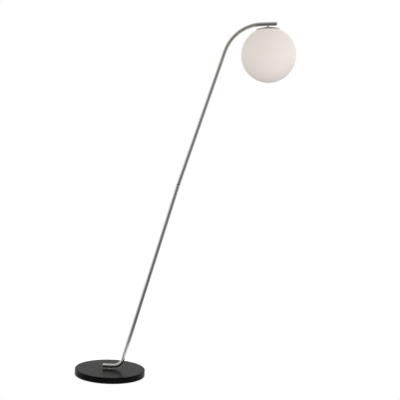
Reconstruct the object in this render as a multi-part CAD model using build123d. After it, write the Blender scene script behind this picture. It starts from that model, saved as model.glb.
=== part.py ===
from build123d import *

import math
import os

# Arc floor lamp. Millimetres, +Z up, +X towards the globe, origin on the floor under the base's centre.

# ---- driving dimensions -------------------------------------------------------------------------
BASE_DIAMETER = 300.0
BASE_HEIGHT = 26.0
PAD_THICKNESS = 2.0
PLATE_THICKNESS = 2.5
COVER_SHEET = 1.2
COVER_EDGE_RADIUS = 2.4
COVER_FLOOR_GAP = 1.0

TUBE_DIAMETER = 16.0
TUBE_WALL = 1.5
RUN_ABOVE_BASE = 12.0      # tube centre above the base's top
TAIL_LENGTH = 32.0         # stud axis to the free end of the lower run
RUN_LENGTH = 14.0          # stud axis to the start of the lower bend
LOWER_BEND_RADIUS = 40.0
LOWER_LEAN = 14.5          # degrees from upright
LOWER_LENGTH = 790.0
UPPER_LEAN = 16.2          # degrees from upright
UPPER_LENGTH = 594.0
ARC_RADIUS = 173.0
TOP_RISE = 5.0             # degrees, the top run above level
STEM_OFFSET = 24.0         # end of the arc to the stem
TIP_LENGTH = 38.0          # stem to the free end of the top run

GLOBE_RADIUS = 116.5
GLOBE_DROP = 130.0         # tube centre to globe centre
GLASS_WALL = 3.0
MOUTH_RADIUS = 41.0
MOUTH_DEPTH = 12.0
CAP_RADIUS = 50.0
CAP_SHEET = 1.2
CAP_TOP = -13.4            # below the tube's centre, along the stem
CAP_SAG = 7.9              # height of the cap's crown over its rim
CAP_SKIRT = 2.4

STUD_RADIUS = 5.0          # hollow M10 fine thread
STUD_BORE = 3.2
NUT_ACROSS_FLATS = 17.0
RUNNING = 0.05             # radial clearance of a turning fit
SEATED = 0.02              # radial clearance of a seated piece
GLASS_CLEARANCE = 0.3

WIRE_RADIUS = 0.85
WIRE_PITCH = 2.0
TERMINAL_PITCH = 8.0

BULB_RADIUS = 30.0
BULB_LENGTH = 108.0

# ---- derived values -----------------------------------------------------------------------------
TUBE_RADIUS = TUBE_DIAMETER / 2
TUBE_BORE = TUBE_RADIUS - TUBE_WALL
BASE_RADIUS = BASE_DIAMETER / 2
COVER_INSIDE = BASE_RADIUS - COVER_SHEET
COVER_UNDERSIDE = BASE_HEIGHT - COVER_SHEET
WEIGHT_BOTTOM = PAD_THICKNESS + PLATE_THICKNESS
RUN_HEIGHT = BASE_HEIGHT + RUN_ABOVE_BASE
JOINT_GAP = 0.8            # half of the ring between the two tubes
JOINT_SCREW_OFFSET = 22.0  # joint to each set screw

POCKET_RADIUS = 43.0
POCKET_TOP = 19.0
CHANNEL_WIDTH = 14.0
CHANNEL_TOP = 18.5
GLAND_HEIGHT = 12.0
GLAND_BORE = 3.6
GLAND_RADIUS = 6.0
SCREW_CIRCLE = 100.0
STOP_PIN_CIRCLE = 18.0
WASHER_THICKNESS = 1.0
NUT_HEIGHT = 5.5


def heading(elevation):
    """Unit vector in the lamp's plane at an elevation in degrees."""
    angle = math.radians(elevation)
    return Vector(math.cos(angle), 0, math.sin(angle))


# corners and key points of the tube's centre line, in the XZ plane
LOWER_WAY = heading(90 - LOWER_LEAN)
UPPER_WAY = heading(90 - UPPER_LEAN)
TOP_WAY = heading(TOP_RISE)
MEAN_WAY = heading(90 - (LOWER_LEAN + UPPER_LEAN) / 2)
LOWER_TANGENT = LOWER_BEND_RADIUS * math.tan(math.radians(90 - LOWER_LEAN) / 2)
ARC_TANGENT = ARC_RADIUS * math.tan(math.radians(90 - UPPER_LEAN - TOP_RISE) / 2)
TAIL_END = Vector(-TAIL_LENGTH, 0, RUN_HEIGHT)
LOWER_CORNER = Vector(RUN_LENGTH + LOWER_TANGENT, 0, RUN_HEIGHT)
JOINT = LOWER_CORNER + LOWER_WAY * (LOWER_TANGENT + LOWER_LENGTH)
ARC_CORNER = JOINT + UPPER_WAY * (UPPER_LENGTH + ARC_TANGENT)
STEM = ARC_CORNER + TOP_WAY * (ARC_TANGENT + STEM_OFFSET)
TIP_END = STEM + TOP_WAY * TIP_LENGTH
HEAD = Location((STEM.X, STEM.Y, STEM.Z), (0, -TOP_RISE, 0))


# ---- helpers ------------------------------------------------------------------------------------
def rod(radius, low, high, x=0.0, y=0.0):
    """Upright cylinder between two heights."""
    return Pos(x, y, (low + high) / 2) * Cylinder(radius, high - low)


def pipe(outer, inner, low, high, x=0.0, y=0.0):
    """Upright hollow cylinder between two heights."""
    return rod(outer, low, high, x, y) - rod(inner, low - 1, high + 1, x, y)


def bar_x(radius, start, end, y=0.0, z=0.0):
    """Cylinder along X between two stations."""
    return Pos((start + end) / 2, y, z) * Rot(0, 90, 0) * Cylinder(radius, end - start)


def bar_y(radius, start, end, x=0.0, z=0.0):
    """Cylinder along Y between two stations."""
    return Pos(x, (start + end) / 2, z) * Rot(90, 0, 0) * Cylinder(radius, end - start)


def block(low, high):
    """Box between two corners."""
    size = [b - a for a, b in zip(low, high)]
    middle = [(a + b) / 2 for a, b in zip(low, high)]
    return Pos(*middle) * Box(*size)


def turned(points):
    """Solid of revolution about Z from a closed (radius, height) outline."""
    outline = make_face(Polyline([(r, 0, z) for r, z in points], close=True))
    return revolve(outline, Axis.Z)


def hex_nut(low, high, across=NUT_ACROSS_FLATS, bore=STUD_RADIUS):
    """Hexagon nut about Z, with its bore on the thread's crest."""
    prism = Pos(0, 0, low) * extrude(RegularPolygon(across / 2, 6, major_radius=False), high - low)
    return prism - rod(bore + SEATED, low - 1, high + 1)


def around(solid, count, first=0.0):
    """Copies of one solid evenly about Z."""
    return [Rot(0, 0, first + i * 360 / count) * solid for i in range(count)]


def swept_tube(route, outer, inner):
    """Tube of round section along a wire that starts along its first edge."""
    start = Plane(origin=route @ 0, z_dir=route % 0)
    ring = start * (Circle(outer) - Circle(inner))
    return sweep(ring, path=route)


def beyond(point, way, size=200.0):
    """Block that fills the side of a plane that its normal points to."""
    plane = Plane(origin=point, z_dir=way)
    return plane * Pos(0, 0, size / 2) * Box(size, size, size)


def on_head(solid):
    """Carries a piece modelled about the stem's axis, tube centre at zero, to its place."""
    return HEAD * solid


def save(name, pieces):
    """Writes one node."""
    pieces = pieces if isinstance(pieces, list) else [pieces]
    solids = [solid for piece in pieces for solid in piece.solids()]
    shape = solids[0] if len(solids) == 1 else Compound(children=solids)
    export_step(shape, f"parts/{name}.step")


# ---- base ---------------------------------------------------------------------------------------
def floor_pad():
    """Foam disc under the whole base."""
    return rod(BASE_RADIUS - 3, 0, PAD_THICKNESS)


def bottom_plate():
    """Steel disc that closes the base, countersunk for three screws."""
    plate = rod(BASE_RADIUS - 2.5, PAD_THICKNESS, WEIGHT_BOTTOM)
    sink = turned([(0, 1.9), (4.3, 1.9), (2.2, 4.6), (0, 4.6)])
    for hole in around(Pos(SCREW_CIRCLE, 0, 0) * sink, 3, 30):
        plate -= hole
    return plate


def plate_screws():
    """Three countersunk M4 screws that hold the plate to the weight."""
    screw = turned([(0, 2.1), (4.0, 2.1), (2.0, 4.4), (2.0, 16.0), (0, 16.0)])
    slot = block((SCREW_CIRCLE - 3, -0.5, 1.9), (SCREW_CIRCLE + 3, 0.5, 2.9))
    return around(Pos(SCREW_CIRCLE, 0, 0) * screw - slot, 3, 30)


def base_weight():
    """Cast disc with a round pocket, a channel to the rear rim and the pivot's bore."""
    edge = BASE_RADIUS - 4
    disc = turned([(0, WEIGHT_BOTTOM), (edge, WEIGHT_BOTTOM), (edge, COVER_UNDERSIDE - 4),
                   (edge - 4, COVER_UNDERSIDE), (0, COVER_UNDERSIDE)])
    disc -= rod(POCKET_RADIUS, WEIGHT_BOTTOM - 1, POCKET_TOP)
    disc -= block((-CHANNEL_WIDTH / 2, 0, WEIGHT_BOTTOM - 1), (CHANNEL_WIDTH / 2, BASE_RADIUS, CHANNEL_TOP))
    disc -= rod(STUD_RADIUS + 1 + SEATED, 0, BASE_HEIGHT)
    disc -= rod(1.5, POCKET_TOP - 1, COVER_UNDERSIDE - 1, -STOP_PIN_CIRCLE)
    for hole in around(rod(2.05, WEIGHT_BOTTOM - 1, 18, SCREW_CIRCLE), 3, 30):
        disc -= hole
    return disc


def base_cover():
    """Spun steel shell with a rounded rim, bored for the pivot and the cable gland."""
    shell = rod(BASE_RADIUS, COVER_FLOOR_GAP, BASE_HEIGHT)
    shell = fillet(shell.edges().group_by(Axis.Z)[-1], COVER_EDGE_RADIUS)
    inside = rod(COVER_INSIDE, COVER_FLOOR_GAP - 1, COVER_UNDERSIDE)
    inside = fillet(inside.edges().group_by(Axis.Z)[-1], COVER_EDGE_RADIUS - COVER_SHEET)
    shell -= inside
    shell -= rod(STUD_RADIUS + 1 + SEATED, 0, BASE_HEIGHT + 1)
    shell -= bar_y(GLAND_RADIUS + SEATED, BASE_RADIUS - 20, BASE_RADIUS + 5, z=GLAND_HEIGHT)
    return shell


def pivot_bush():
    """Nylon bush that the stud turns in, with a flange under the collar."""
    bush = pipe(STUD_RADIUS + 1, STUD_RADIUS + RUNNING, POCKET_TOP, BASE_HEIGHT)
    return bush + pipe(8.0, STUD_RADIUS + RUNNING, BASE_HEIGHT, BASE_HEIGHT + 0.8)


def friction_washer():
    """Nylon washer that the pole's spring washer drags on."""
    return pipe(11.0, STUD_RADIUS + RUNNING, POCKET_TOP - WASHER_THICKNESS, POCKET_TOP)


def stop_pin():
    """Pin in the weight that stops the pole's bracket."""
    return rod(1.5 - SEATED, POCKET_TOP - 6, COVER_UNDERSIDE - 1.2, -STOP_PIN_CIRCLE)


def cord_gland():
    """Moulded gland for the mains lead, in the rear of the rim."""
    body = bar_y(GLAND_RADIUS, BASE_RADIUS - 9, BASE_RADIUS, z=GLAND_HEIGHT)
    flange = bar_y(8.0, BASE_RADIUS - 0.8, BASE_RADIUS + 2, z=GLAND_HEIGHT)
    flange = fillet(flange.edges().sort_by(Axis.Y)[-1], 0.8) - rod(BASE_RADIUS, 0, BASE_HEIGHT)
    gland = body + flange
    return gland - bar_y(GLAND_BORE, BASE_RADIUS - 12, BASE_RADIUS + 4, z=GLAND_HEIGHT)


# ---- pole foot ----------------------------------------------------------------------------------
def pole_stud():
    """Hollow threaded stud from inside the lower run down into the base."""
    return pipe(STUD_RADIUS, STUD_BORE, POCKET_TOP - 9, RUN_HEIGHT - 4)


def stud_collar():
    """Turned collar between the base and the tube, saddled to the tube."""
    collar = pipe(7.0, STUD_RADIUS + SEATED, BASE_HEIGHT + 0.8, RUN_HEIGHT - 4)
    return collar - bar_x(TUBE_RADIUS + SEATED, -20, 20, z=RUN_HEIGHT)


def tube_insert(room_ahead):
    """Plug inside a tube about its cross bore: solid behind, bored for the wires on the side given."""
    plug = bar_x(TUBE_BORE - SEATED, -12, 12)
    plug -= rod(STUD_RADIUS + SEATED, -10, 0)
    bore = bar_x(4.5, -4.5, 15) if room_ahead else bar_x(4.5, -15, 4.5)
    return plug - bore


def stud_insert():
    """Threaded insert in the lower run that takes the stud."""
    return Pos(0, 0, RUN_HEIGHT) * tube_insert(True)


def spring_washer():
    """Steel washer that keeps the pivot's friction."""
    high = POCKET_TOP - WASHER_THICKNESS
    return pipe(10.0, STUD_RADIUS + SEATED, high - WASHER_THICKNESS, high)


def terminal_bracket():
    """Plate under the nut that carries the terminal block and meets the stop pin."""
    high = POCKET_TOP - 2 * WASHER_THICKNESS
    low = high - WASHER_THICKNESS
    plate = rod(11.0, low, high) + block((0, -6, low), (24, 6, high)) + block((22, -12, low), (38, 12, high))
    return plate - rod(STUD_RADIUS + SEATED, low - 1, high + 1)


def stud_nut():
    """Thin nut under the bracket."""
    high = POCKET_TOP - 3 * WASHER_THICKNESS
    return hex_nut(high - NUT_HEIGHT, high)


def terminal_rows():
    """Offsets of the three ways across the terminal block, with each wire's place in the tube."""
    return [(i * TERMINAL_PITCH, i * WIRE_PITCH) for i in (-1, 0, 1)]


TERMINAL_HEIGHT = 9.0
BLOCK_TOP = POCKET_TOP - 3 * WASHER_THICKNESS


def terminal_block():
    """Three-way moulded terminal block."""
    body = block((22, -12, 5.4), (38, 12, BLOCK_TOP))
    for y, _ in terminal_rows():
        body -= bar_x(2.3, 20, 40, y=y, z=TERMINAL_HEIGHT)
        for x in (26, 34):
            body -= rod(1.5, 4, TERMINAL_HEIGHT, x, y)
    return body


def terminal_sleeves():
    """Brass sleeve of each way."""
    sleeves = []
    for y, _ in terminal_rows():
        sleeve = bar_x(2.25, 23, 37, y=y, z=TERMINAL_HEIGHT) - bar_x(1.3, 20, 40, y=y, z=TERMINAL_HEIGHT)
        for x in (26, 34):
            sleeve -= rod(1.5, 4, TERMINAL_HEIGHT, x, y)
        sleeves.append(sleeve)
    return sleeves


def terminal_screws():
    """Two clamping screws in each way."""
    return [rod(1.45, 5.8, TERMINAL_HEIGHT - 1, x, y) for y, _ in terminal_rows() for x in (26, 34)]


# ---- pole ---------------------------------------------------------------------------------------
def lower_tube():
    """Tail, lower bend and lower straight, cut off square at the joint."""
    past = JOINT + LOWER_WAY * 10
    route = FilletPolyline(TAIL_END + Vector(2, 0, 0), LOWER_CORNER, past, radius=LOWER_BEND_RADIUS)
    tube = swept_tube(route, TUBE_RADIUS, TUBE_BORE)
    tube -= beyond(JOINT - MEAN_WAY * JOINT_GAP, MEAN_WAY)
    tube -= joint_screw_hole(-LOWER_WAY)
    return tube - rod(STUD_RADIUS + SEATED, RUN_HEIGHT - 12, RUN_HEIGHT)


def upper_tube():
    """Upper straight, arc and top run, cut off square at the joint."""
    start = JOINT - UPPER_WAY * 10
    route = FilletPolyline(start, ARC_CORNER, TIP_END - TOP_WAY * 2, radius=ARC_RADIUS)
    tube = swept_tube(route, TUBE_RADIUS, TUBE_BORE)
    tube -= beyond(JOINT + MEAN_WAY * JOINT_GAP, -MEAN_WAY)
    tube -= joint_screw_hole(UPPER_WAY)
    return tube - on_head(rod(STUD_RADIUS + SEATED, -12, 0))


def end_cap():
    """Turned cap about X, its outer face at zero and its spigot towards +X."""
    disc = Rot(0, 90, 0) * rod(TUBE_RADIUS, 0, 2)
    disc = fillet(disc.edges().sort_by(Axis.X)[0], 0.8)
    return disc + bar_x(TUBE_BORE - SEATED, 1, 10)


def tail_cap():
    """Cap of the lower run's free end."""
    return Pos(TAIL_END.X, TAIL_END.Y, TAIL_END.Z) * end_cap()


def tip_cap():
    """Cap of the top run's free end."""
    return Location((TIP_END.X, TIP_END.Y, TIP_END.Z), (0, 180 - TOP_RISE, 0)) * end_cap()


def joint_spigot():
    """Hollow spigot that joins the two tubes, with their small change of lean."""
    radius = TUBE_BORE - SEATED
    outside = Sphere(radius)
    inside = Sphere(radius - 2)
    for way in (-LOWER_WAY, UPPER_WAY):
        limb = Plane(origin=(0, 0, 0), z_dir=way)
        outside += limb * rod(radius, 0, 45)
        inside += limb * rod(radius - 2, 0, 46)
    spigot = Pos(JOINT.X, JOINT.Y, JOINT.Z) * (outside - inside)
    return spigot - joint_screw_hole(-LOWER_WAY) - joint_screw_hole(UPPER_WAY)


def joint_screw_hole(way):
    """Rod on the axis of the set screw in the rear wall of one tube."""
    centre = JOINT + way * JOINT_SCREW_OFFSET
    return bar_y(1.5 + SEATED, 2, TUBE_RADIUS + 1, x=centre.X, z=centre.Z)


def joint_ring():
    """Thin ring that fills the joint between the tubes."""
    ring = pipe(TUBE_RADIUS - 0.5, TUBE_BORE, -JOINT_GAP, JOINT_GAP)
    return Plane(origin=JOINT, z_dir=MEAN_WAY) * ring


def joint_screws():
    """Two set screws, flush in the rear of the tubes."""
    screws = []
    for way in (-LOWER_WAY, UPPER_WAY):
        centre = JOINT + way * JOINT_SCREW_OFFSET
        screw = bar_y(1.5, 3, TUBE_RADIUS - 0.4, x=centre.X, z=centre.Z)
        screws.append(screw - bar_y(0.7, TUBE_RADIUS - 2, TUBE_RADIUS, x=centre.X, z=centre.Z))
    return screws


def inner_wire(terminal_y, tube_y):
    """One insulated wire from its terminal, up the stud, through the pole and down the stem."""
    foot = POCKET_TOP - 9 - 3.8
    stem_end = HEAD.position + (HEAD * Pos(0, 0, -40)).position - HEAD.position
    side = Vector(0, tube_y, 0)
    points = [
        Vector(26, terminal_y, TERMINAL_HEIGHT),
        Vector(17, terminal_y, TERMINAL_HEIGHT),
        Vector(10, tube_y, foot),
        Vector(0, tube_y, foot),
        Vector(0, tube_y, RUN_HEIGHT),
        LOWER_CORNER + side,
        JOINT + side,
        ARC_CORNER + side,
        STEM + side,
        stem_end + side,
    ]
    radii = [4, 4, 3.8, 5, LOWER_BEND_RADIUS, 400, ARC_RADIUS, 5]
    route = FilletPolyline(*points, radius=radii)
    start = Plane(origin=route @ 0, z_dir=route % 0)
    return sweep(start * Circle(WIRE_RADIUS), path=route)


# ---- head, about the stem's axis with the tube's centre at zero ---------------------------------
def stem_insert():
    """Threaded insert in the top run that takes the stem."""
    return on_head(tube_insert(False))


def stem_nipple():
    """Hollow threaded stem with a plain neck between the tube and the cap."""
    nipple = turned([(STUD_BORE, -28), (STUD_RADIUS, -28), (STUD_RADIUS, CAP_TOP - 0.2), (4.6, CAP_TOP + 0.2),
                     (4.6, -8.2), (STUD_RADIUS, -7.8), (STUD_RADIUS, -4), (STUD_BORE, -4)])
    return on_head(nipple)


def cap_crown(radius, sag):
    """Radius of the sphere whose crown has this sag over this radius."""
    return (radius * radius + sag * sag) / (2 * sag)


def globe_cap():
    """Shallow spun cap with a short straight skirt."""
    crown = cap_crown(CAP_RADIUS, CAP_SAG)
    outside = Pos(0, 0, CAP_TOP - crown) * Sphere(crown)
    inside = Pos(0, 0, CAP_TOP - crown) * Sphere(crown - CAP_SHEET)
    rim = CAP_TOP - CAP_SAG - CAP_SKIRT
    shell = (rod(CAP_RADIUS, rim, 0) & outside) - (rod(CAP_RADIUS - CAP_SHEET, rim - 1, 0) & inside)
    return on_head(shell - rod(STUD_RADIUS + SEATED, -30, 0))


def seat_gasket():
    """Silicone ring that the glass seats against."""
    ring = turned([(44.5, -21.0), (47.5, -21.9), (47.5, -23.2), (44.5, -22.0)])
    return on_head(ring)


def cap_nut():
    """Thin nut that holds the cap on the stem."""
    return on_head(hex_nut(-19, -15, across=16.0))


def gallery_plate():
    """Disc on the stem that carries the globe's springs."""
    plate = pipe(30, STUD_RADIUS + SEATED, -20.5, -19)
    for hole in around(rod(1.62, -22, -18, 25), 3, 60):
        plate -= hole
    return on_head(plate)


def globe_springs():
    """Three leaf springs that grip the inside of the glass mouth."""
    middle = Polyline((21, 0, -20.92), (36, 0, -20.92), (39.6, 0, -24.5), (39.6, 0, -29.5), (36.5, 0, -33.5))
    strip = offset_strip(middle, 0.4, 12)
    strip -= rod(1.62, -22, -18, 25)
    return [on_head(spring) for spring in around(strip, 3, 60)]


def offset_strip(line, half_thickness, width):
    """Bent strip of constant thickness along a polyline in the XZ plane."""
    strip = None
    for edge in line.edges():
        start, end = edge @ 0, edge @ 1
        way = (end - start).normalized()
        middle = (start + end) * 0.5
        piece = Plane(origin=middle, x_dir=way, z_dir=(0, 1, 0))
        leaf = piece * Box((end - start).length + half_thickness, 2 * half_thickness, width)
        strip = leaf if strip is None else strip + leaf
    return strip


def spring_rivets():
    """Rivets that hold the springs to the plate."""
    rivet = rod(1.6, -21.5, -18.6, 25) + rod(2.6, -18.98, -18.2, 25)
    return [on_head(piece) for piece in around(rivet, 3, 60)]


def holder_dome():
    """Upper half of the lampholder, threaded on the stem."""
    dome = turned([(STUD_RADIUS + SEATED, -20.5), (12, -20.5), (16, -23), (19, -29), (19, -38), (17.2, -38),
                   (17.2, -29.5), (14.8, -24.8), (11.5, -22.8), (STUD_RADIUS + SEATED, -22.8)])
    return on_head(dome)


def holder_body():
    """Lower half of the lampholder."""
    body = turned([(15.4, -38), (19.6, -38), (19.6, -68), (18.6, -69), (15.4, -69)])
    return on_head(body)


def holder_insert():
    """Porcelain block that carries the contacts and the wires' terminals."""
    block_body = rod(15.2, -43.5, -40.5)
    return on_head(block_body - rod(1.6, -45, -39))


def screw_shell():
    """Brass shell that takes the bulb's thread."""
    return on_head(pipe(14.2, 13.45, -67, -43.5))


def centre_contact():
    """Contact spring and its rivet at the bottom of the shell."""
    return on_head(rod(1.5, -43.5, -40.5) + rod(4.0, -44.1, -43.5))


# ---- globe and bulb -----------------------------------------------------------------------------
def globe():
    """Opal glass sphere with an in-turned cylindrical lip at its mouth."""
    outside = Pos(0, 0, -GLOBE_DROP) * Sphere(GLOBE_RADIUS)
    inside = Pos(0, 0, -GLOBE_DROP) * Sphere(GLOBE_RADIUS - GLASS_WALL)
    mouth = math.sqrt(GLOBE_RADIUS**2 - MOUTH_RADIUS**2) - GLOBE_DROP
    lip = outside & rod(MOUTH_RADIUS + GLASS_WALL, mouth - MOUTH_DEPTH, 0)
    return on_head(outside - inside + lip - rod(MOUTH_RADIUS, mouth - MOUTH_DEPTH - 1, 0))


BULB_TOP = -44.6
BULB_CROWN = BULB_TOP - BULB_LENGTH + BULB_RADIUS


def bulb_contact():
    """Contact button and its insulator at the bulb's end."""
    return on_head(turned([(0, BULB_TOP), (4, BULB_TOP), (4.6, BULB_TOP - 1.4), (0, BULB_TOP - 1.4)]))


def bulb_insulator():
    """Glass cone between the button and the shell."""
    return on_head(turned([(0, BULB_TOP - 1.4), (5, BULB_TOP - 1.4), (12.6, BULB_TOP - 4), (0, BULB_TOP - 4)]))


def bulb_shell():
    """Screw shell of the bulb, drawn on its crests."""
    low = BULB_TOP - 26
    return on_head(pipe(13.1, 12.7, low, BULB_TOP - 4))


def bulb_housing():
    """White body that flares from the shell to the dome."""
    low = BULB_TOP - 26
    body = turned([(0, BULB_TOP - 4.1), (12.65, BULB_TOP - 4.1), (12.65, low - 0.05), (13.4, low - 0.05),
                   (14.4, low - 6), (26.5, BULB_CROWN + 12), (26.5, BULB_CROWN + 6), (0, BULB_CROWN + 6)])
    return on_head(body)


def bulb_dome():
    """Frosted dome of the bulb."""
    ball = Pos(0, 0, BULB_CROWN) * Sphere(BULB_RADIUS)
    hollow = Pos(0, 0, BULB_CROWN) * Sphere(BULB_RADIUS - 1.2)
    return on_head((ball - hollow) & rod(BULB_RADIUS + 5, BULB_CROWN - 60, BULB_CROWN + 5.95))


NODES = [
    floor_pad, bottom_plate, plate_screws, base_weight, base_cover, pivot_bush, friction_washer, stop_pin,
    cord_gland, pole_stud, stud_collar, stud_insert, spring_washer, terminal_bracket, stud_nut, terminal_block,
    terminal_sleeves, terminal_screws, lower_tube, upper_tube, tail_cap, tip_cap, joint_spigot, joint_ring,
    joint_screws, stem_insert, stem_nipple, globe_cap, seat_gasket, cap_nut, gallery_plate, globe_springs,
    spring_rivets, holder_dome, holder_body, holder_insert, screw_shell, centre_contact, globe, bulb_contact,
    bulb_insulator, bulb_shell, bulb_housing, bulb_dome,
]

os.makedirs("parts", exist_ok=True)
for make in NODES:
    save(make.__name__, make())
for wire_name, (terminal_y, tube_y) in zip(("live_wire", "earth_wire", "neutral_wire"), terminal_rows()):
    save(wire_name, inner_wire(terminal_y, tube_y))

print("joint", JOINT, "arc corner", ARC_CORNER, "stem", STEM, "tip", TIP_END)
print("globe centre", (HEAD * Pos(0, 0, -GLOBE_DROP)).position)
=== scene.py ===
import logging
import math
from dataclasses import dataclass, field
from enum import Enum
from typing import Callable, ClassVar, Sequence

import bpy
import numpy as np
from mathutils import Matrix, Vector


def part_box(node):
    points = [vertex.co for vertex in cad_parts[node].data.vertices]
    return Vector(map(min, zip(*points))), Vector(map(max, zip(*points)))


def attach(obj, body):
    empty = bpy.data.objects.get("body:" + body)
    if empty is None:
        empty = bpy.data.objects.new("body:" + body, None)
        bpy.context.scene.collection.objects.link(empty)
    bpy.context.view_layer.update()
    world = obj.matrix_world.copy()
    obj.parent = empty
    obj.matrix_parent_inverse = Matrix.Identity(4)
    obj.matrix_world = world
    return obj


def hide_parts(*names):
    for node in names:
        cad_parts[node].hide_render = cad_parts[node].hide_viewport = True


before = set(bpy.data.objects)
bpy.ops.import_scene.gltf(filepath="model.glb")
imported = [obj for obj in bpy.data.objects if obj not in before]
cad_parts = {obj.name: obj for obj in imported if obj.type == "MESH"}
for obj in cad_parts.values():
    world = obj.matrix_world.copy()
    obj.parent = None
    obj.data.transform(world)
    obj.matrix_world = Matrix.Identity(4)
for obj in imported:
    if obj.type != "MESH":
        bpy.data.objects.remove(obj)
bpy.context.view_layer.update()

LOG = logging.getLogger("arc_lamp")
MM = 0.001
FULL_TURN = 2 * math.pi
ON_AXIS = 1e-9
THREAD_PITCH = 3.62
THREAD_FADE = 2.0
THREAD_STEP = 0.45

Colour = tuple[float, float, float]
Point = tuple[float, float, float]
Relief = Callable[[np.ndarray, np.ndarray, np.ndarray], np.ndarray]

UPRIGHT: Point = (0.0, 0.0, 1.0)
RIGHT: Point = (1.0, 0.0, 0.0)
REARWARD: Point = (0.0, 1.0, 0.0)


class Body(str, Enum):
    """The lamp's rigid bodies, by the names that their joints use."""

    BASE = "base"
    POLE = "pole"
    GLOBE = "globe"
    BULB = "bulb"


# ---- shader maths -------------------------------------------------------------------------------
class Signal:
    """A shader socket that carries one number, which can be added, multiplied and ramped."""

    def __init__(self, graph: "Graph", socket: bpy.types.NodeSocket) -> None:
        """Wraps a socket of a graph.

        Args:
            graph: the graph that new nodes go into.
            socket: the output that carries the number.
        """
        self.graph = graph
        self.socket = socket

    def _math(self, operation: str, other: "Signal | float") -> "Signal":
        """One Math node on this value and another."""
        node = self.graph.node("Math", {"operation": operation}, self, other)
        return Signal(self.graph, node.outputs[0])

    def __add__(self, other: "Signal | float") -> "Signal":
        """Sum."""
        return self._math("ADD", other)

    def __mul__(self, other: "Signal | float") -> "Signal":
        """Product."""
        return self._math("MULTIPLY", other)

    def ramp(self, low: float, high: float, start: float = 0.0, end: float = 1.0) -> "Signal":
        """Smooth step from start to end as the value goes from low to high.

        Args:
            low: the value where the step starts.
            high: the value where it is complete.
            start: result at and below low.
            end: result at and above high.

        Returns:
            The stepped value.
        """
        settings = {"interpolation_type": "SMOOTHSTEP"}
        node = self.graph.node("MapRange", settings, self, low, high, start, end)
        return Signal(self.graph, node.outputs[0])


class Graph:
    """A node tree being filled in."""

    def __init__(self, tree: bpy.types.NodeTree) -> None:
        """Empties a tree and takes it over.

        Args:
            tree: the tree of a material or a world.
        """
        self.tree = tree
        tree.nodes.clear()

    def node(self, kind: str, settings: dict, *values: object, **named: object) -> bpy.types.Node:
        """Adds one node.

        Args:
            kind: the node's type without its ShaderNode prefix.
            settings: properties to set before its sockets.
            values: a value, link or None for each input, in order.
            named: values for inputs by name, with spaces as underscores.

        Returns:
            The node.
        """
        made = self.tree.nodes.new(f"ShaderNode{kind}")
        for key, value in settings.items():
            setattr(made, key, value)
        pairs = list(zip(made.inputs, values))
        pairs += [(made.inputs[key.replace("_", " ")], value) for key, value in named.items()]
        for socket, value in pairs:
            if isinstance(value, Signal):
                self.tree.links.new(value.socket, socket)
            elif isinstance(value, bpy.types.NodeSocket):
                self.tree.links.new(value, socket)
            elif value is not None:
                socket.default_value = value
        return made

    def noise(self, place: bpy.types.NodeSocket, scale: float, detail: float = 3.0) -> Signal:
        """Noise about one half at a scale, in cycles a metre on Object coordinates."""
        made = self.node("TexNoise", {}, Vector=place, Scale=scale, Detail=detail, Roughness=0.55)
        return Signal(self, made.outputs[0])

    def cells(self, place: bpy.types.NodeSocket, scale: float) -> Signal:
        """Distance to the nearest of scattered points."""
        made = self.node("TexVoronoi", {}, Vector=place, Scale=scale)
        return Signal(self, made.outputs["Distance"])

    def spots(self, place: bpy.types.NodeSocket, scale: float, size: tuple[float, float]) -> Signal:
        """Scattered dots, each one inside and nought outside, with its edge between two sizes in cells."""
        return self.cells(place, scale).ramp(*size, 1.0, 0.0)

    def place(self, uv: bool = False, stretch: Point = (1.0, 1.0, 1.0)) -> bpy.types.NodeSocket:
        """Object or UV coordinates, scaled along each axis."""
        source = self.node("TexCoord", {}).outputs["UV" if uv else "Object"]
        return self.node("Mapping", {}, Vector=source, Scale=stretch).outputs[0]

    def blend(self, amount: "Signal | float", first: Colour, second: Colour) -> bpy.types.NodeSocket:
        """Mix of two colours."""
        made = self.node("MixRGB", {}, amount, (*first, 1.0), (*second, 1.0))
        return made.outputs[0]

    def bump(self, height: Signal, depth: float, strength: float = 1.0) -> bpy.types.NodeSocket:
        """Normal bent by a height from 0 to 1 that stands for a depth in metres."""
        made = self.node("Bump", {}, Strength=strength, Distance=depth, Height=height)
        return made.outputs[0]


# ---- finishes -----------------------------------------------------------------------------------
@dataclass(frozen=True)
class Finish:
    """What every finish has: a name, a slot of the record, and a way to fill in its graph.

    The slot is left empty unless one is given.
    """

    name: str
    slot: str = field(default="", kw_only=True)

    def fill(self, graph: Graph) -> bpy.types.Node:
        """Adds the finish's nodes and returns its surface shader."""
        raise NotImplementedError

    def material(self) -> bpy.types.Material:
        """Makes the finish's material, or finds it.

        Returns:
            The material.
        """
        label = f"finish_{self.name}"
        known = bpy.data.materials.get(label)
        if known is not None:
            return known
        made = bpy.data.materials.new(label)
        made.use_nodes = True
        graph = Graph(made.node_tree)
        shader = self.fill(graph)
        graph.node("OutputMaterial", {}, shader.outputs[0])
        return made


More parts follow.
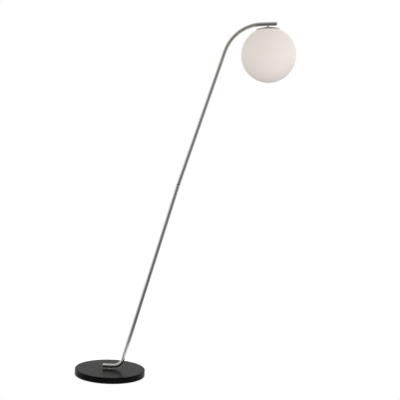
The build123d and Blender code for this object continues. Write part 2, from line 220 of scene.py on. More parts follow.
@dataclass(frozen=True)
class PlatedMetal(Finish):
    """Plated or plain metal with a drawn grain, clouding and small marks."""

    colour: Colour
    stain: Colour
    smooth: float
    rough: float
    grain_turns: float = 70.0
    grain_length: float = 9.0
    grain_depth: float = 0.000006
    follows_piece: bool = True

    def fill(self, graph: Graph) -> bpy.types.Node:
        """Fills in fine grain along the piece, softer clouds over it and sparse darker marks.

        Args:
            graph: the material's graph.

        Returns:
            The surface shader.
        """
        if self.follows_piece:
            place = graph.place(True, (self.grain_turns, self.grain_length, 1.0))
            grain = graph.noise(place, 1.0, 4.0)
        else:
            grain = graph.noise(graph.place(False, (1.0, 1.0, 0.06)), 900.0, 3.0)
        solid = graph.place()
        cloud = graph.noise(solid, 24.0, 4.0)
        smudge = graph.noise(solid, 7.0, 2.0).ramp(0.45, 0.75)
        fleck = graph.spots(solid, 260.0, (0.03, 0.10)) * graph.noise(solid, 60.0).ramp(0.55, 0.7)
        tone = (grain * 0.35 + cloud * 0.5 + fleck * 0.5).ramp(0.2, 1.0)
        wear = grain * 0.4 + cloud * 0.35 + smudge * 0.25 + fleck * 0.3
        gloss = wear.ramp(0.2, 0.9, self.smooth, self.rough)
        return graph.node(
            "BsdfPrincipled", {}, Base_Color=graph.blend(tone, self.colour, self.stain), Metallic=1.0,
            Roughness=gloss, Normal=graph.bump(grain * 0.8 + fleck * 0.4, self.grain_depth),
        )


@dataclass(frozen=True)
class BlackEnamel(Finish):
    """Satin black stoved enamel: fine orange peel, settled dust and thin handling marks."""

    colour: Colour = (0.0018, 0.0018, 0.0019)
    dust: Colour = (0.010, 0.0097, 0.0094)
    smooth: float = 0.27
    rough: float = 0.40
    index: float = 1.108
    peel_depth: float = 0.00003

    def fill(self, graph: Graph) -> bpy.types.Node:
        """Fills in peel from two noises, dust where the face looks up, and marks as stretched noise.

        Args:
            graph: the material's graph.

        Returns:
            The surface shader.
        """
        place = graph.place()
        peel = graph.noise(place, 420.0, 2.0) * 0.6 + graph.noise(place, 1400.0, 2.0) * 0.4
        up = graph.node("SeparateXYZ", {}, graph.node("NewGeometry", {}).outputs["Normal"]).outputs[2]
        settled = Signal(graph, up).ramp(0.5, 1.0) * graph.noise(place, 34.0, 5.0).ramp(0.42, 0.75)
        specks = graph.spots(place, 330.0, (0.02, 0.07)) * graph.noise(place, 90.0).ramp(0.5, 0.62)
        marks = graph.noise(graph.place(False, (4.0, 90.0, 40.0)), 1.0, 3.0).ramp(0.66, 0.74)
        dusted = (settled * 0.35 + specks * 0.5 + marks * 0.08).ramp(0.0, 1.0)
        gloss = (peel * 0.3 + settled * 0.4 + marks * 0.3).ramp(0.1, 0.8, self.smooth, self.rough)
        return graph.node(
            "BsdfPrincipled", {}, Base_Color=graph.blend(dusted, self.colour, self.dust), Roughness=gloss,
            IOR=self.index, Normal=graph.bump(peel + specks * 0.3, self.peel_depth, 0.6),
        )


@dataclass(frozen=True)
class OpalGlass(Finish):
    """Blown opal glass with a satin-etched outside: milky, a little uneven, faintly seedy, with a faint
    painted glow that stands in for studio light falling on the unlit globe.
    """

    colour: Colour = (0.87, 0.815, 0.77)
    warm: Colour = (0.85, 0.77, 0.71)
    smooth: float = 0.30
    rough: float = 0.40
    # Painted light: this emission stands in for studio light falling on the globe; it is not a lit bulb.
    glow: Colour = (1.0, 0.90, 0.82)
    glow_strength: float = 0.13
    milkiness: float = 0.35
    scatter: float = 0.006
    unevenness: float = 0.0004

    def fill(self, graph: Graph) -> bpy.types.Node:
        """Fills in slow bands of thicker glass, etched grain, and rare seeds under the surface.

        Args:
            graph: the material's graph.

        Returns:
            The surface shader.
        """
        place = graph.place()
        thick = graph.noise(graph.place(False, (1.0, 1.0, 2.2)), 5.0, 2.0)
        etch = graph.noise(place, 1800.0, 2.0)
        seeds = graph.spots(place, 150.0, (0.02, 0.06)) * graph.noise(place, 40.0).ramp(0.6, 0.7)
        tone = (thick * 0.8 + seeds * 0.35).ramp(0.3, 0.75)
        gloss = (etch * 0.5 + thick * 0.5).ramp(0.3, 0.7, self.smooth, self.rough)
        # The emission below is painted light, a glow in place of studio fill on the unlit globe.
        return graph.node(
            "BsdfPrincipled", {}, Base_Color=graph.blend(tone, self.colour, self.warm), Roughness=gloss,
            IOR=1.5, Subsurface_Weight=self.milkiness, Subsurface_Radius=(self.scatter,) * 3,
            Subsurface_Scale=1.0, Emission_Color=(*self.glow, 1.0), Emission_Strength=self.glow_strength,
            Normal=graph.bump(thick * 0.9 + etch * 0.02 + seeds * 0.05, self.unevenness, 0.25),
        )


@dataclass(frozen=True)
class Moulding(Finish):
    """Moulded, pressed or glazed stuff: an even colour, a fine skin and slight shading."""

    colour: Colour
    shade: Colour
    smooth: float
    rough: float
    skin_scale: float = 900.0
    skin_depth: float = 0.00002
    coat: float = 0.0

    def fill(self, graph: Graph) -> bpy.types.Node:
        """Fills in skin noise for the bump, and slower noise for the tone and gloss.

        Args:
            graph: the material's graph.

        Returns:
            The surface shader.
        """
        place = graph.place()
        skin = graph.noise(place, self.skin_scale, 3.0)
        tone = graph.noise(place, 45.0, 4.0)
        pits = graph.cells(place, self.skin_scale * 0.6).ramp(0.0, 0.5)
        gloss = (skin * 0.5 + tone * 0.5).ramp(0.3, 0.7, self.smooth, self.rough)
        return graph.node(
            "BsdfPrincipled", {}, Base_Color=graph.blend(tone.ramp(0.3, 0.7), self.colour, self.shade),
            Roughness=gloss, Coat_Weight=self.coat,
            Normal=graph.bump(skin * 0.6 + pits * 0.4, self.skin_depth),
        )


NICKEL = PlatedMetal("satin_nickel", (0.68, 0.665, 0.645), (0.55, 0.535, 0.515), 0.22, 0.34)
# Painted shade: the cap's finish is the tube's satin nickel made darker, standing in for shade on the cap.
SHADED_CAP_NICKEL = PlatedMetal(
    "cap_nickel", (0.44, 0.43, 0.41), (0.34, 0.33, 0.31), 0.22, 0.34, slot="satin_nickel",
)
ZINC = PlatedMetal("zinc_steel", (0.60, 0.61, 0.62), (0.46, 0.47, 0.50), 0.26, 0.46, follows_piece=False)
BRASS = PlatedMetal(
    "turned_brass", (0.80, 0.58, 0.26), (0.62, 0.42, 0.17), 0.22, 0.38, 8.0, 900.0, slot="brass",
)
SPRING_STEEL = PlatedMetal(
    "spring_steel", (0.50, 0.50, 0.50), (0.36, 0.37, 0.40), 0.20, 0.34, 60.0, 30.0, slot="zinc_steel",
)
ENAMEL = BlackEnamel("black_enamel", slot="cover_black")
OPAL = OpalGlass("opal_glass")
CAST_IRON = Moulding("cast_iron", (0.055, 0.055, 0.058), (0.11, 0.10, 0.095), 0.55, 0.8, 260.0, 0.0004)
FOAM = Moulding("pad_foam", (0.012, 0.012, 0.012), (0.03, 0.03, 0.03), 0.75, 0.95, 700.0, 0.0003)
JOINT_BLACK = Moulding("joint_black", (0.012, 0.012, 0.012), (0.025, 0.025, 0.025), 0.35, 0.5)
GLAND_BLACK = Moulding("gland_black", (0.010, 0.010, 0.010), (0.022, 0.022, 0.022), 0.4, 0.6)
HOLDER_BLACK = Moulding("holder_black", (0.008, 0.008, 0.009), (0.02, 0.018, 0.017), 0.16, 0.3, coat=0.3)
NYLON = Moulding("nylon", (0.72, 0.70, 0.63), (0.62, 0.60, 0.52), 0.3, 0.45)
SILICONE = Moulding("silicone", (0.70, 0.70, 0.68), (0.60, 0.60, 0.58), 0.4, 0.6)
PORCELAIN = Moulding("porcelain", (0.80, 0.78, 0.73), (0.72, 0.69, 0.63), 0.12, 0.22, 300.0, coat=0.6)
BULB_WHITE = Moulding("bulb_white", (0.82, 0.82, 0.81), (0.76, 0.76, 0.75), 0.35, 0.5)
BULB_FROST = Moulding("bulb_frost", (0.88, 0.87, 0.84), (0.83, 0.82, 0.78), 0.4, 0.55, 1600.0)
BULB_GLASS = Moulding("bulb_glass", (0.01, 0.01, 0.012), (0.02, 0.02, 0.03), 0.08, 0.15, coat=0.5)
BROWN_WIRE = Moulding("brown_insulation", (0.10, 0.035, 0.015), (0.13, 0.05, 0.02), 0.35, 0.5)
BLUE_WIRE = Moulding("blue_insulation", (0.02, 0.07, 0.30), (0.03, 0.09, 0.36), 0.35, 0.5)
EARTH_WIRE = Moulding("earth_insulation", (0.55, 0.55, 0.03), (0.06, 0.32, 0.04), 0.35, 0.5, 120.0)


# ---- surfaces, in millimetres -------------------------------------------------------------------
@dataclass(frozen=True)
class Stretch:
    """Part of a spine: its length in millimetres and the angle in radians that it turns through."""

    length: float
    turn: float = 0.0


@dataclass(frozen=True)
class Spine:
    """A flat line of straights and arcs, with a frame at each point of it.

    The heading is the sum of the turns so far. Along an arc of curvature k the line's place is
    (sin(h) - sin(h0)) / k ahead and (cos(h0) - cos(h)) / k to the side, with h the heading.
    """

    origin: Point
    ahead: Point
    side: Point
    stretches: tuple[Stretch, ...] = (Stretch(1.0),)

    def at(self, s: np.ndarray) -> tuple[np.ndarray, np.ndarray, np.ndarray]:
        """Places and frames along the line; it runs on straight past its ends.

        Args:
            s: distances from the origin, in millimetres.

        Returns:
            Points, unit sideways vectors in the line's plane, and unit vectors across the plane.
        """
        forward = np.zeros_like(s)
        sideways = np.zeros_like(s)
        heading = np.zeros_like(s)
        start, x0, y0, h0 = 0.0, 0.0, 0.0, 0.0
        last = len(self.stretches) - 1
        for i, part in enumerate(self.stretches):
            low = start if i else -np.inf
            high = start + part.length if i < last else np.inf
            inside = (s >= low) & (s <= high)
            x, y, h = self._along(part, s - start, x0, y0, h0)
            forward, sideways = np.where(inside, x, forward), np.where(inside, y, sideways)
            heading = np.where(inside, h, heading)
            end = self._along(part, np.array([part.length]), x0, y0, h0)
            x0, y0, h0 = (float(value[0]) for value in end)
            start += part.length
        ahead, side = np.array(self.ahead), np.array(self.side)
        points = np.array(self.origin) + forward[:, None] * ahead + sideways[:, None] * side
        normals = -np.sin(heading)[:, None] * ahead + np.cos(heading)[:, None] * side
        across = np.broadcast_to(np.cross(ahead, side), points.shape)
        return points, normals, across

    @staticmethod
    def _along(part: Stretch, s: np.ndarray, x0: float, y0: float, h0: float) -> tuple[np.ndarray, ...]:
        """Follows one stretch.

        Args:
            part: the stretch.
            s: distances into it.
            x0: how far ahead it starts.
            y0: how far to the side it starts.
            h0: its first heading.

        Returns:
            Distances ahead and to the side, and headings.
        """
        if part.turn == 0.0:
            return x0 + s * math.cos(h0), y0 + s * math.sin(h0), np.full_like(s, h0)
        k = part.turn / part.length
        h = h0 + k * s
        return x0 + (np.sin(h) - math.sin(h0)) / k, y0 + (math.cos(h0) - np.cos(h)) / k, h

    def branch(self, s: float, quarter_turn: bool = False) -> "Spine":
        """Starts a straight spine from a point of this one.

        Args:
            s: where it starts, in millimetres.
            quarter_turn: whether it sets off to the side, or else along this one.

        Returns:
            The new spine.
        """
        points, normals, _ = self.at(np.array([s - 0.5, s, s + 0.5]))
        ahead = points[2] - points[0]
        side = normals[1]
        if quarter_turn:
            ahead, side = side, -ahead
        return Spine(tuple(points[1]), tuple(ahead), tuple(side))


FOOT_AXIS = Spine((0.0, 0.0, 0.0), UPRIGHT, RIGHT)


def rounded(corners: Sequence[Sequence[float]], steps: int = 5) -> np.ndarray:
    """Outline with corners swept round.

    Each corner is (s, r) or (s, r, radius). An arc of the radius touches both sides: it starts and
    ends at radius / tan(half the inside angle) from the corner.

    Args:
        corners: the corners in order; the ends of an open outline have no radius.
        steps: points along each arc, less one.

    Returns:
        The outline's points as rows of (s, r).
    """
    points = [np.array(c[:2], float) for c in corners]
    radii = [c[2] if len(c) > 2 else 0.0 for c in corners]
    outline = []
    count = len(points)
    for i, (corner, radius) in enumerate(zip(points, radii)):
        if radius == 0.0:
            outline.append(corner)
            continue
        back = points[i - 1] - corner
        on = points[(i + 1) % count] - corner
        back, on = back / np.linalg.norm(back), on / np.linalg.norm(on)
        half = math.acos(float(np.clip(back @ on, -1, 1))) / 2
        middle = back + on
        centre = corner + middle / np.linalg.norm(middle) * radius / math.sin(half)
        first, final = corner + back * radius / math.tan(half), corner + on * radius / math.tan(half)
        sweep = np.linspace(0.0, 1.0, steps + 1)[:, None]
        a, b = (first - centre) / radius, (final - centre) / radius
        angle = math.pi - 2 * half
        arc = (np.sin((1 - sweep) * angle) * a + np.sin(sweep * angle) * b) / math.sin(angle)
        outline.extend(centre + radius * arc)
    return np.array(outline)


def spread(outline: np.ndarray, step: float, closed: bool = True) -> np.ndarray:
    """Adds points to an outline so that none are further apart than a step.

    Args:
        outline: rows of (s, r).
        step: the longest gap.
        closed: whether the last row joins the first.

    Returns:
        The fuller outline.
    """
    ends = np.roll(outline, -1, axis=0) if closed else outline[1:]
    rows = []
    for start, end in zip(outline, ends):
        count = max(1, math.ceil(float(np.linalg.norm(end - start)) / step))
        rows.append(start + (end - start) * np.linspace(0, 1, count, endpoint=False)[:, None])
    if not closed:
        rows.append(outline[-1:])
    return np.concatenate(rows)


def ball_arc(centre: float, radius: float, start: float, end: float, count: int) -> np.ndarray:
    """Arc of a ball's outline about the spine: s = centre - radius cos a, r = radius sin a."""
    angle = np.linspace(start, end, count)
    return np.stack([centre - radius * np.cos(angle), np.maximum(radius * np.sin(angle), 0.0)], 1)


@dataclass
class Shell:
    """A surface under construction: its vertices, faces and the UV of each face corner."""

    points: np.ndarray
    faces: list[list[int]]
    uv: np.ndarray

    @staticmethod
    def turned(spine: Spine, outline: np.ndarray, sectors: int, relief: Relief | None = None) -> "Shell":
        """Carries a circle along a spine, its radius and station following an outline.

        A point is C(s) + r (cos t N(s) + sin t B(s)), with C, N and B the spine's point, side and
        across vectors and t the angle round it. The outline's last row joins its first. A row on the
        axis is one vertex, and two such rows don't join. U is the share of the turn and V the length
        along the outline in metres.

        Args:
            spine: the line to follow.
            outline: rows of (s, r) in millimetres.
            sectors: points round each circle.
            relief: radius to add, in millimetres, as a function of s, r and t.

        Returns:
            The surface, facing outwards.
        """
        after = np.roll(outline, -1, axis=0)
        if float(np.sum(outline[:, 0] * after[:, 1] - after[:, 0] * outline[:, 1])) > 0:
            outline = outline[::-1]
        s, r = outline[:, 0], outline[:, 1]
        angle = np.arange(sectors) * FULL_TURN / sectors
        centre, side, across = spine.at(s)
        radius = np.broadcast_to(r[:, None], (len(s), sectors))
        if relief is not None:
            radius = radius + relief(s[:, None], r[:, None], angle[None, :])
        swing = angle[None, :, None]
        spoke = np.cos(swing) * side[:, None, :] + np.sin(swing) * across[:, None, :]
        grid = centre[:, None, :] + radius[:, :, None] * spoke
        pole = r < ON_AXIS
        sizes = np.where(pole, 1, sectors)
        first = np.concatenate([[0], np.cumsum(sizes)[:-1]])
        points = np.concatenate([grid[i, : sizes[i]] for i in range(len(s))])
        legs = np.linalg.norm(np.diff(grid[:, 0], axis=0, append=grid[:1, 0]), axis=1)
        v = np.concatenate([[0.0], np.cumsum(legs)]) * MM
        faces: list[list[int]] = []
        uv: list[np.ndarray] = []
        j = np.arange(sectors)
        k = (j + 1) % sectors
        for i in range(len(s)):
            n = (i + 1) % len(s)
            if pole[i] and pole[n]:
                continue
            near = [first[i] + q * (not pole[i]) for q in (j, k)]
            far = [first[n] + q * (not pole[n]) for q in (k, j)]
            loop = near + far
            us = [j, j + 1, j + 1, j]
            vs = [v[i], v[i], v[i + 1], v[i + 1]]
            keep = [0, 2, 3] if pole[i] else [0, 1, 2] if pole[n] else [0, 1, 2, 3]
            faces.extend(np.stack([loop[q] for q in keep], 1).tolist())
            corners = [np.stack([us[q] / sectors, np.full(sectors, vs[q])], 1) for q in keep]
            uv.append(np.stack(corners, 1).reshape(-1, 2))
        return Shell(points, faces, np.concatenate(uv))

    @staticmethod
    def swept(path: np.ndarray, width_way: Point, section: np.ndarray) -> "Shell":
        """Carries a closed flat section along a line and closes both ends.

        A point is P + a W + b (W x T), with P and T the line's point and heading, W the width's way,
        and (a, b) the section's point.

        Args:
            path: the line's points in millimetres.
            width_way: unit vector across the line.
            section: rows of (across, through) in millimetres, anticlockwise.

        Returns:
            The surface, facing outwards.
        """
        way = np.gradient(path, axis=0)
        way /= np.linalg.norm(way, axis=1)[:, None]
        wide = np.array(width_way, float)
        deep = np.cross(wide, way)
        deep /= np.linalg.norm(deep, axis=1)[:, None]
        grid = path[:, None, :] + section[None, :, :1] * wide + section[None, :, 1:] * deep[:, None, :]
        rows, count = grid.shape[:2]
        j = np.arange(count)
        k = (j + 1) % count
        faces = []
        for i in range(rows - 1):
            a, b = i * count, (i + 1) * count
            faces.extend(np.stack([a + j, a + k, b + k, b + j], 1).tolist())
        faces += [list(range(count))[::-1], [(rows - 1) * count + i for i in range(count)]]
        points = grid.reshape(-1, 3)
        corners = np.array([i for face in faces for i in face])
        uv = np.stack([(corners % count) / count, (corners // count) / rows], 1)
        return Shell(points, faces, uv)

    def joined(self, other: "Shell") -> "Shell":
        """Adds another surface to this one.

        Args:
            other: the surface to add.

        Returns:
            Both in one.
        """
        offset = len(self.points)
        faces = self.faces + [[i + offset for i in face] for face in other.faces]
        return Shell(np.concatenate([self.points, other.points]), faces, np.concatenate([self.uv, other.uv]))

    def piece(self, name: str, finish: Finish, crease: float = 32.0) -> bpy.types.Object:
        """Makes the surface an object in metres.

        Args:
            name: the piece's name.
            finish: what it is finished in.
            crease: angle in degrees past which an edge stays sharp.

        Returns:
            The object, at the origin.
        """
        mesh = bpy.data.meshes.new(name)
        mesh.from_pydata((self.points * MM).tolist(), [], self.faces)
        layer = mesh.uv_layers.new(name="Grain")
        layer.data.foreach_set("uv", self.uv.astype(np.float32).ravel())
        mesh.shade_smooth()
        mesh.set_sharp_from_angle(angle=math.radians(crease))
        mesh.materials.append(finish.material())
        made = bpy.data.objects.new(name, mesh)
        bpy.context.scene.collection.objects.link(made)
        return made


def thread(amplitude: float, first: float, last: float) -> Relief:
    """Rounded thread: radius swings as the cosine of (s / pitch - t) turns, faded at both ends.

    Args:
        amplitude: half the thread's depth in millimetres.
        first: station where it starts.
        last: station where it ends.

    Returns:
        The relief.
    """
    def wave(s: np.ndarray, r: np.ndarray, t: np.ndarray) -> np.ndarray:
        """Radius to add; the same inside and outside the sheet."""
        fade = np.clip(np.minimum(s - first, last - s) / THREAD_FADE, 0.0, 1.0)
        return amplitude * (np.cos(FULL_TURN * s / THREAD_PITCH - t) - 1.0) * fade
    return wave


def settle(piece: bpy.types.Object, body: Body, node: str) -> None:
    """Puts a piece on its body in place of a CAD node, and reports how well it fits.

    Args:
        piece: the new piece.
        body: the body that it moves with.
        node: the CAD node that it stands for.
    """
    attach(piece, body.value)
    low, high = (np.array(corner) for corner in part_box(node))
    co = np.array([v.co for v in piece.data.vertices])
    off = max(np.abs(co.min(0) - low).max(), np.abs(co.max(0) - high).max())
    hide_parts(node)
    LOG.info("%s: %d faces, %.2f mm from the CAD box", piece.name, len(piece.data.polygons), off / MM)


def dress(finish: Finish, *nodes: str) -> None:
    """Puts a finish on CAD nodes whose shape stays.

    Args:
        finish: the finish.
        nodes: the nodes.
    """
    for node in nodes:
        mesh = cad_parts[node].data
        mesh.materials.clear()
        mesh.materials.append(finish.material())
        LOG.info("%s: CAD shape in %s", node, finish.name)


@dataclass
class Assembly:
    """Pieces on one body, most of them turned about one axis."""

    axis: Spine = FOOT_AXIS
    body: ClassVar[Body] = Body.POLE

    def turn(
        self, name: str, node: str, outline: np.ndarray, finish: Finish, sectors: int,
        spine: Spine | None = None, relief: Relief | None = None,
    ) -> None:
        """Makes one turned piece and puts it on the body.

        Args:
            name: the piece's name.
            node: the CAD node that it stands for.
            outline: rows of (s, r) in millimetres.
            finish: its finish.
            sectors: points round each circle.
            spine: the line that it is turned about, if that isn't the axis.
            relief: radius to add.
        """
        shell = Shell.turned(spine or self.axis, outline, sectors, relief)
        settle(shell.piece(name, finish), self.body, node)

    def gather(self, name: str, node: str, shells: Sequence[Shell], finish: Finish) -> None:
        """Makes one piece of several surfaces and puts it on the body.

        Args:
            name: the piece's name.
            node: the CAD node that it stands for.
            shells: the surfaces.
            finish: its finish.
        """
        whole = shells[0]
        for shell in shells[1:]:
            whole = whole.joined(shell)
        settle(whole.piece(name, finish), self.body, node)


# ---- base ---------------------------------------------------------------------------------------
@dataclass
class Base(Assembly):
    """The round foot: enamelled shell, foam pad, pivot bush and cable gland."""

    body: ClassVar[Body] = Body.BASE
    radius: float = 150.0
    height: float = 26.0
    sheet: float = 1.2
    edge: float = 2.4
    floor_gap: float = 1.0
    rolled_lip: float = 0.4
    cover_step: float = 12.0
    pad_inset: float = 3.0
    pad_height: float = 2.0
    bush_bore: float = 5.05
    bush_radius: float = 6.0
    bush_foot: float = 19.0
    flange_radius: float = 8.0
    flange_top: float = 26.8
    gland_height: float = 12.0
    gland_bore: float = 3.6
    gland_radius: float = 6.0

    def build(self) -> None:
        """Makes each visible piece and dresses the CAD pieces inside."""
        self.cover()
        self.pad()
        self.bush()
        self.gland()
        dress(CAST_IRON, "base_weight")
        dress(ZINC, "bottom_plate", "plate_screws", "stop_pin")
        dress(NYLON, "friction_washer")

    def cover(self) -> None:
        """Spins the shell, with its lower edge rolled."""
        inner, underside = self.radius - self.sheet, self.height - self.sheet
        outline = rounded([
            (self.floor_gap, self.radius, self.rolled_lip), (self.height, self.radius, self.edge),
            (self.height, self.bush_radius), (underside, self.bush_radius),
            (underside, inner, self.edge - self.sheet), (self.floor_gap, inner, self.rolled_lip),
        ], steps=8)
        self.turn("base_shell", "base_cover", spread(outline, self.cover_step), ENAMEL, 192)

    def pad(self) -> None:
        """Cuts the foam disc, its edge slightly soft."""
        edge = self.radius - self.pad_inset
        outline = rounded([(0, 0), (0, edge, 0.5), (self.pad_height, edge, 0.3), (self.pad_height, 0)])
        self.turn("foam_pad", "floor_pad", outline, FOAM, 128)

    def bush(self) -> None:
        """Turns the nylon bush, whose flange shows under the collar."""
        outline = rounded([
            (self.bush_foot, self.bush_bore), (self.bush_foot, self.bush_radius, 0.3),
            (self.height, self.bush_radius), (self.height, self.flange_radius, 0.25),
            (self.flange_top, self.flange_radius, 0.25), (self.flange_top, self.bush_bore),
        ])
        self.turn("stud_bush", "pivot_bush", outline, NYLON, 48)

    def gland(self) -> None:
        """Moulds the gland with a domed flange and a rounded mouth."""
        outline = rounded([
            (141, self.gland_bore, 0.4), (141, self.gland_radius, 0.5), (149.7, self.gland_radius),
            (149.7, 8, 0.2), (152, 8, 1.1), (152, self.gland_bore, 0.9),
        ])
        spine = Spine((0.0, 0.0, self.gland_height), REARWARD, RIGHT)
        self.turn("cable_gland", "cord_gland", outline, GLAND_BLACK, 48, spine)


# ---- pole ---------------------------------------------------------------------------------------
@dataclass
class Pole(Assembly):
    """The bent tube in two lengths, with its ends, joint and foot."""

    tube: float = 8.0
    bore: float = 6.5
    run_height: float = 38.0
    tail: float = 32.0
    run: float = 14.0
    bend_radius: float = 40.0
    lower_lean: float = 14.5
    lower_length: float = 790.0
    upper_lean: float = 16.2
    upper_length: float = 594.0
    arc_radius: float = 173.0
    rise: float = 5.0
    stem_offset: float = 24.0
    tip: float = 38.0
    cap_disc: float = 2.0
    ring_half: float = 0.8
    screw_offset: float = 22.0
    tube_step: float = 4.0
    sectors: int = 56

    def __post_init__(self) -> None:
        """Works out the two spines and where the stem leaves the upper one."""
        foot_turn = math.radians(90 - self.lower_lean)
        arc_turn = math.radians(90 - self.upper_lean - self.rise)
        foot_length, arc_length = self.bend_radius * foot_turn, self.arc_radius * arc_turn
        self.lower = Spine((-self.tail, 0.0, self.run_height), RIGHT, UPRIGHT, (
            Stretch(self.tail + self.run), Stretch(foot_length, foot_turn), Stretch(self.lower_length),
        ))
        self.lower_end = self.tail + self.run + foot_length + self.lower_length
        joint = self.lower.at(np.array([self.lower_end]))[0][0]
        lean = math.radians(self.upper_lean)
        ahead, side = (math.sin(lean), 0.0, math.cos(lean)), (math.cos(lean), 0.0, -math.sin(lean))
        self.upper = Spine(tuple(joint), ahead, side, (
            Stretch(self.upper_length), Stretch(arc_length, arc_turn), Stretch(self.stem_offset + self.tip),
        ))
        self.stem_at = self.upper_length + arc_length + self.stem_offset
        self.upper_end = self.stem_at + self.tip

    def build(self) -> None:
        """Makes the tubes, ends, ring, set screws and collar, and dresses the inner CAD pieces."""
        self.tubes()
        self.ends()
        self.joint()
        self.collar()
        dress(ZINC, "pole_stud", "stud_insert", "spring_washer", "terminal_bracket", "stud_nut")
        dress(ZINC, "joint_spigot")
        dress(NYLON, "terminal_block")
        dress(BRASS, "terminal_sleeves", "terminal_screws")
        dress(BROWN_WIRE, "live_wire")
        dress(BLUE_WIRE, "neutral_wire")
        dress(EARTH_WIRE, "earth_wire")

    def sleeve(self, start: float, end: float) -> np.ndarray:
        """Outline of a length of tube with its edges just broken."""
        corners = [(start, self.tube, 0.25), (end, self.tube, 0.25), (end, self.bore), (start, self.bore)]
        return spread(rounded(corners, steps=2), self.tube_step)

    def tubes(self) -> None:
        """Makes the two lengths of tube."""
        low = self.sleeve(self.cap_disc, self.lower_end - self.ring_half)
        self.turn("lower_pole", "lower_tube", low, NICKEL, self.sectors, self.lower)
        high = self.sleeve(self.ring_half, self.upper_end - self.cap_disc)
        self.turn("upper_pole", "upper_tube", high, NICKEL, self.sectors, self.upper)

    def ends(self) -> None:
        """Turns the caps of both free ends, with a shadow line against the tube."""
        spigot = self.bore - 0.02
        outline = rounded([
            (0, 0), (0, 5.6), (0, self.tube, 0.8), (1.85, self.tube, 0.2), (1.85, spigot), (10, spigot, 0.6),
            (10, 0),
        ])
        tip = self.upper.branch(self.upper_end)
        back = Spine(tip.origin, tuple(-v for v in tip.ahead), tip.side)
        self.turn("tail_plug", "tail_cap", outline, NICKEL, self.sectors, self.lower.branch(0.0))
        self.turn("tip_plug", "tip_cap", outline, NICKEL, self.sectors, back)

    def joint(self) -> None:
        """Makes the dark ring between the tubes and a set screw each side of it, at the rear."""
        half, outer = self.ring_half, self.tube - 0.5
        ring = rounded([(-half, outer, 0.2), (half, outer, 0.2), (half, self.bore), (-half, self.bore)])
        self.turn("seam_ring", "joint_ring", ring, JOINT_BLACK, self.sectors, self.upper.branch(0.0))
        head = self.tube + 0.12
        screw = rounded([
            (3, 0), (3, 1.5, 0.2), (head, 1.5, 0.25), (head, 0.8, 0.08), (self.tube - 1.2, 0.7),
            (self.tube - 1.5, 0),
        ], steps=3)
        shells = []
        for spine, s in ((self.lower, self.lower_end - self.screw_offset), (self.upper, self.screw_offset)):
            centre = tuple(spine.at(np.array([s]))[0][0])
            shells.append(Shell.turned(Spine(centre, REARWARD, RIGHT), screw, 24))
        self.gather("set_screws", "joint_screws", shells, ZINC)

    def collar(self) -> None:
        """Turns the collar between the base and the run; the tube's saddle hides its top."""
        outline = rounded([(26.8, 5.1), (26.8, 7.0, 0.35), (32.0, 7.0), (32.0, 5.1)])
        self.turn("foot_collar", "stud_collar", outline, NICKEL, 48)


